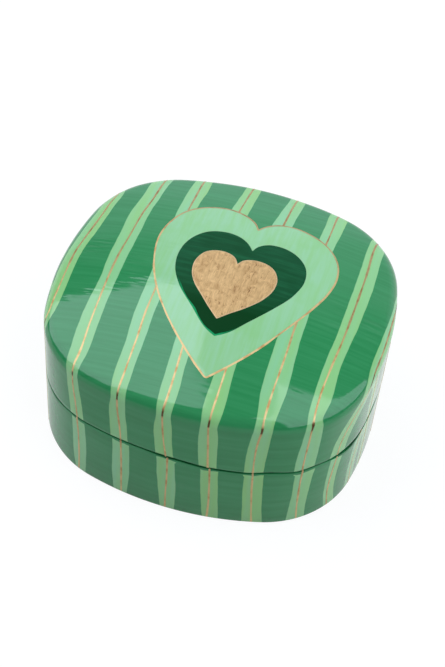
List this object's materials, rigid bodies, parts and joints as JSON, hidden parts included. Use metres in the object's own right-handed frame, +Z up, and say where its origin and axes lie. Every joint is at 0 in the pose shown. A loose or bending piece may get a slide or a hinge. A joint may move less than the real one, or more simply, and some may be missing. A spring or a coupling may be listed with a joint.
{
  "type": "papier mache box",
  "caption": "Rounded-square papier mache box with bowed sides and a soft domed lid that lifts off an inner collar, lacquered in painted stripes.",
  "frame": {"origin": "middle of the underside, on the surface the box stands on", "axes": "+Z up, in the direction the lid lifts; +X across the wider way; -Y towards the side that the tip of the painted heart points to"},
  "size_m": [0.1, 0.0948, 0.052],
  "materials": {
    "outer_lacquer": "moulded paper pulp, primed, painted in dark green and pale mint stripes edged in gold, under glossy varnish",
    "crown_lacquer": "moulded paper pulp, primed, painted in stripes and nested hearts edged in gold, under glossy varnish",
    "inner_lacquer": "paper board painted black under thin varnish"
  },
  "bodies": {
    "base": {"base_wall": "outer_lacquer", "base_floor": "inner_lacquer", "collar": "inner_lacquer"},
    "lid": {"lid_wall": "outer_lacquer", "lid_crown": "crown_lacquer"}
  },
  "joints": [
    {"name": "lid_lift", "type": "slide", "parent": "base", "child": "lid", "axis": [0, 0, 1], "range_m": [0, 0.05]}
  ]
}
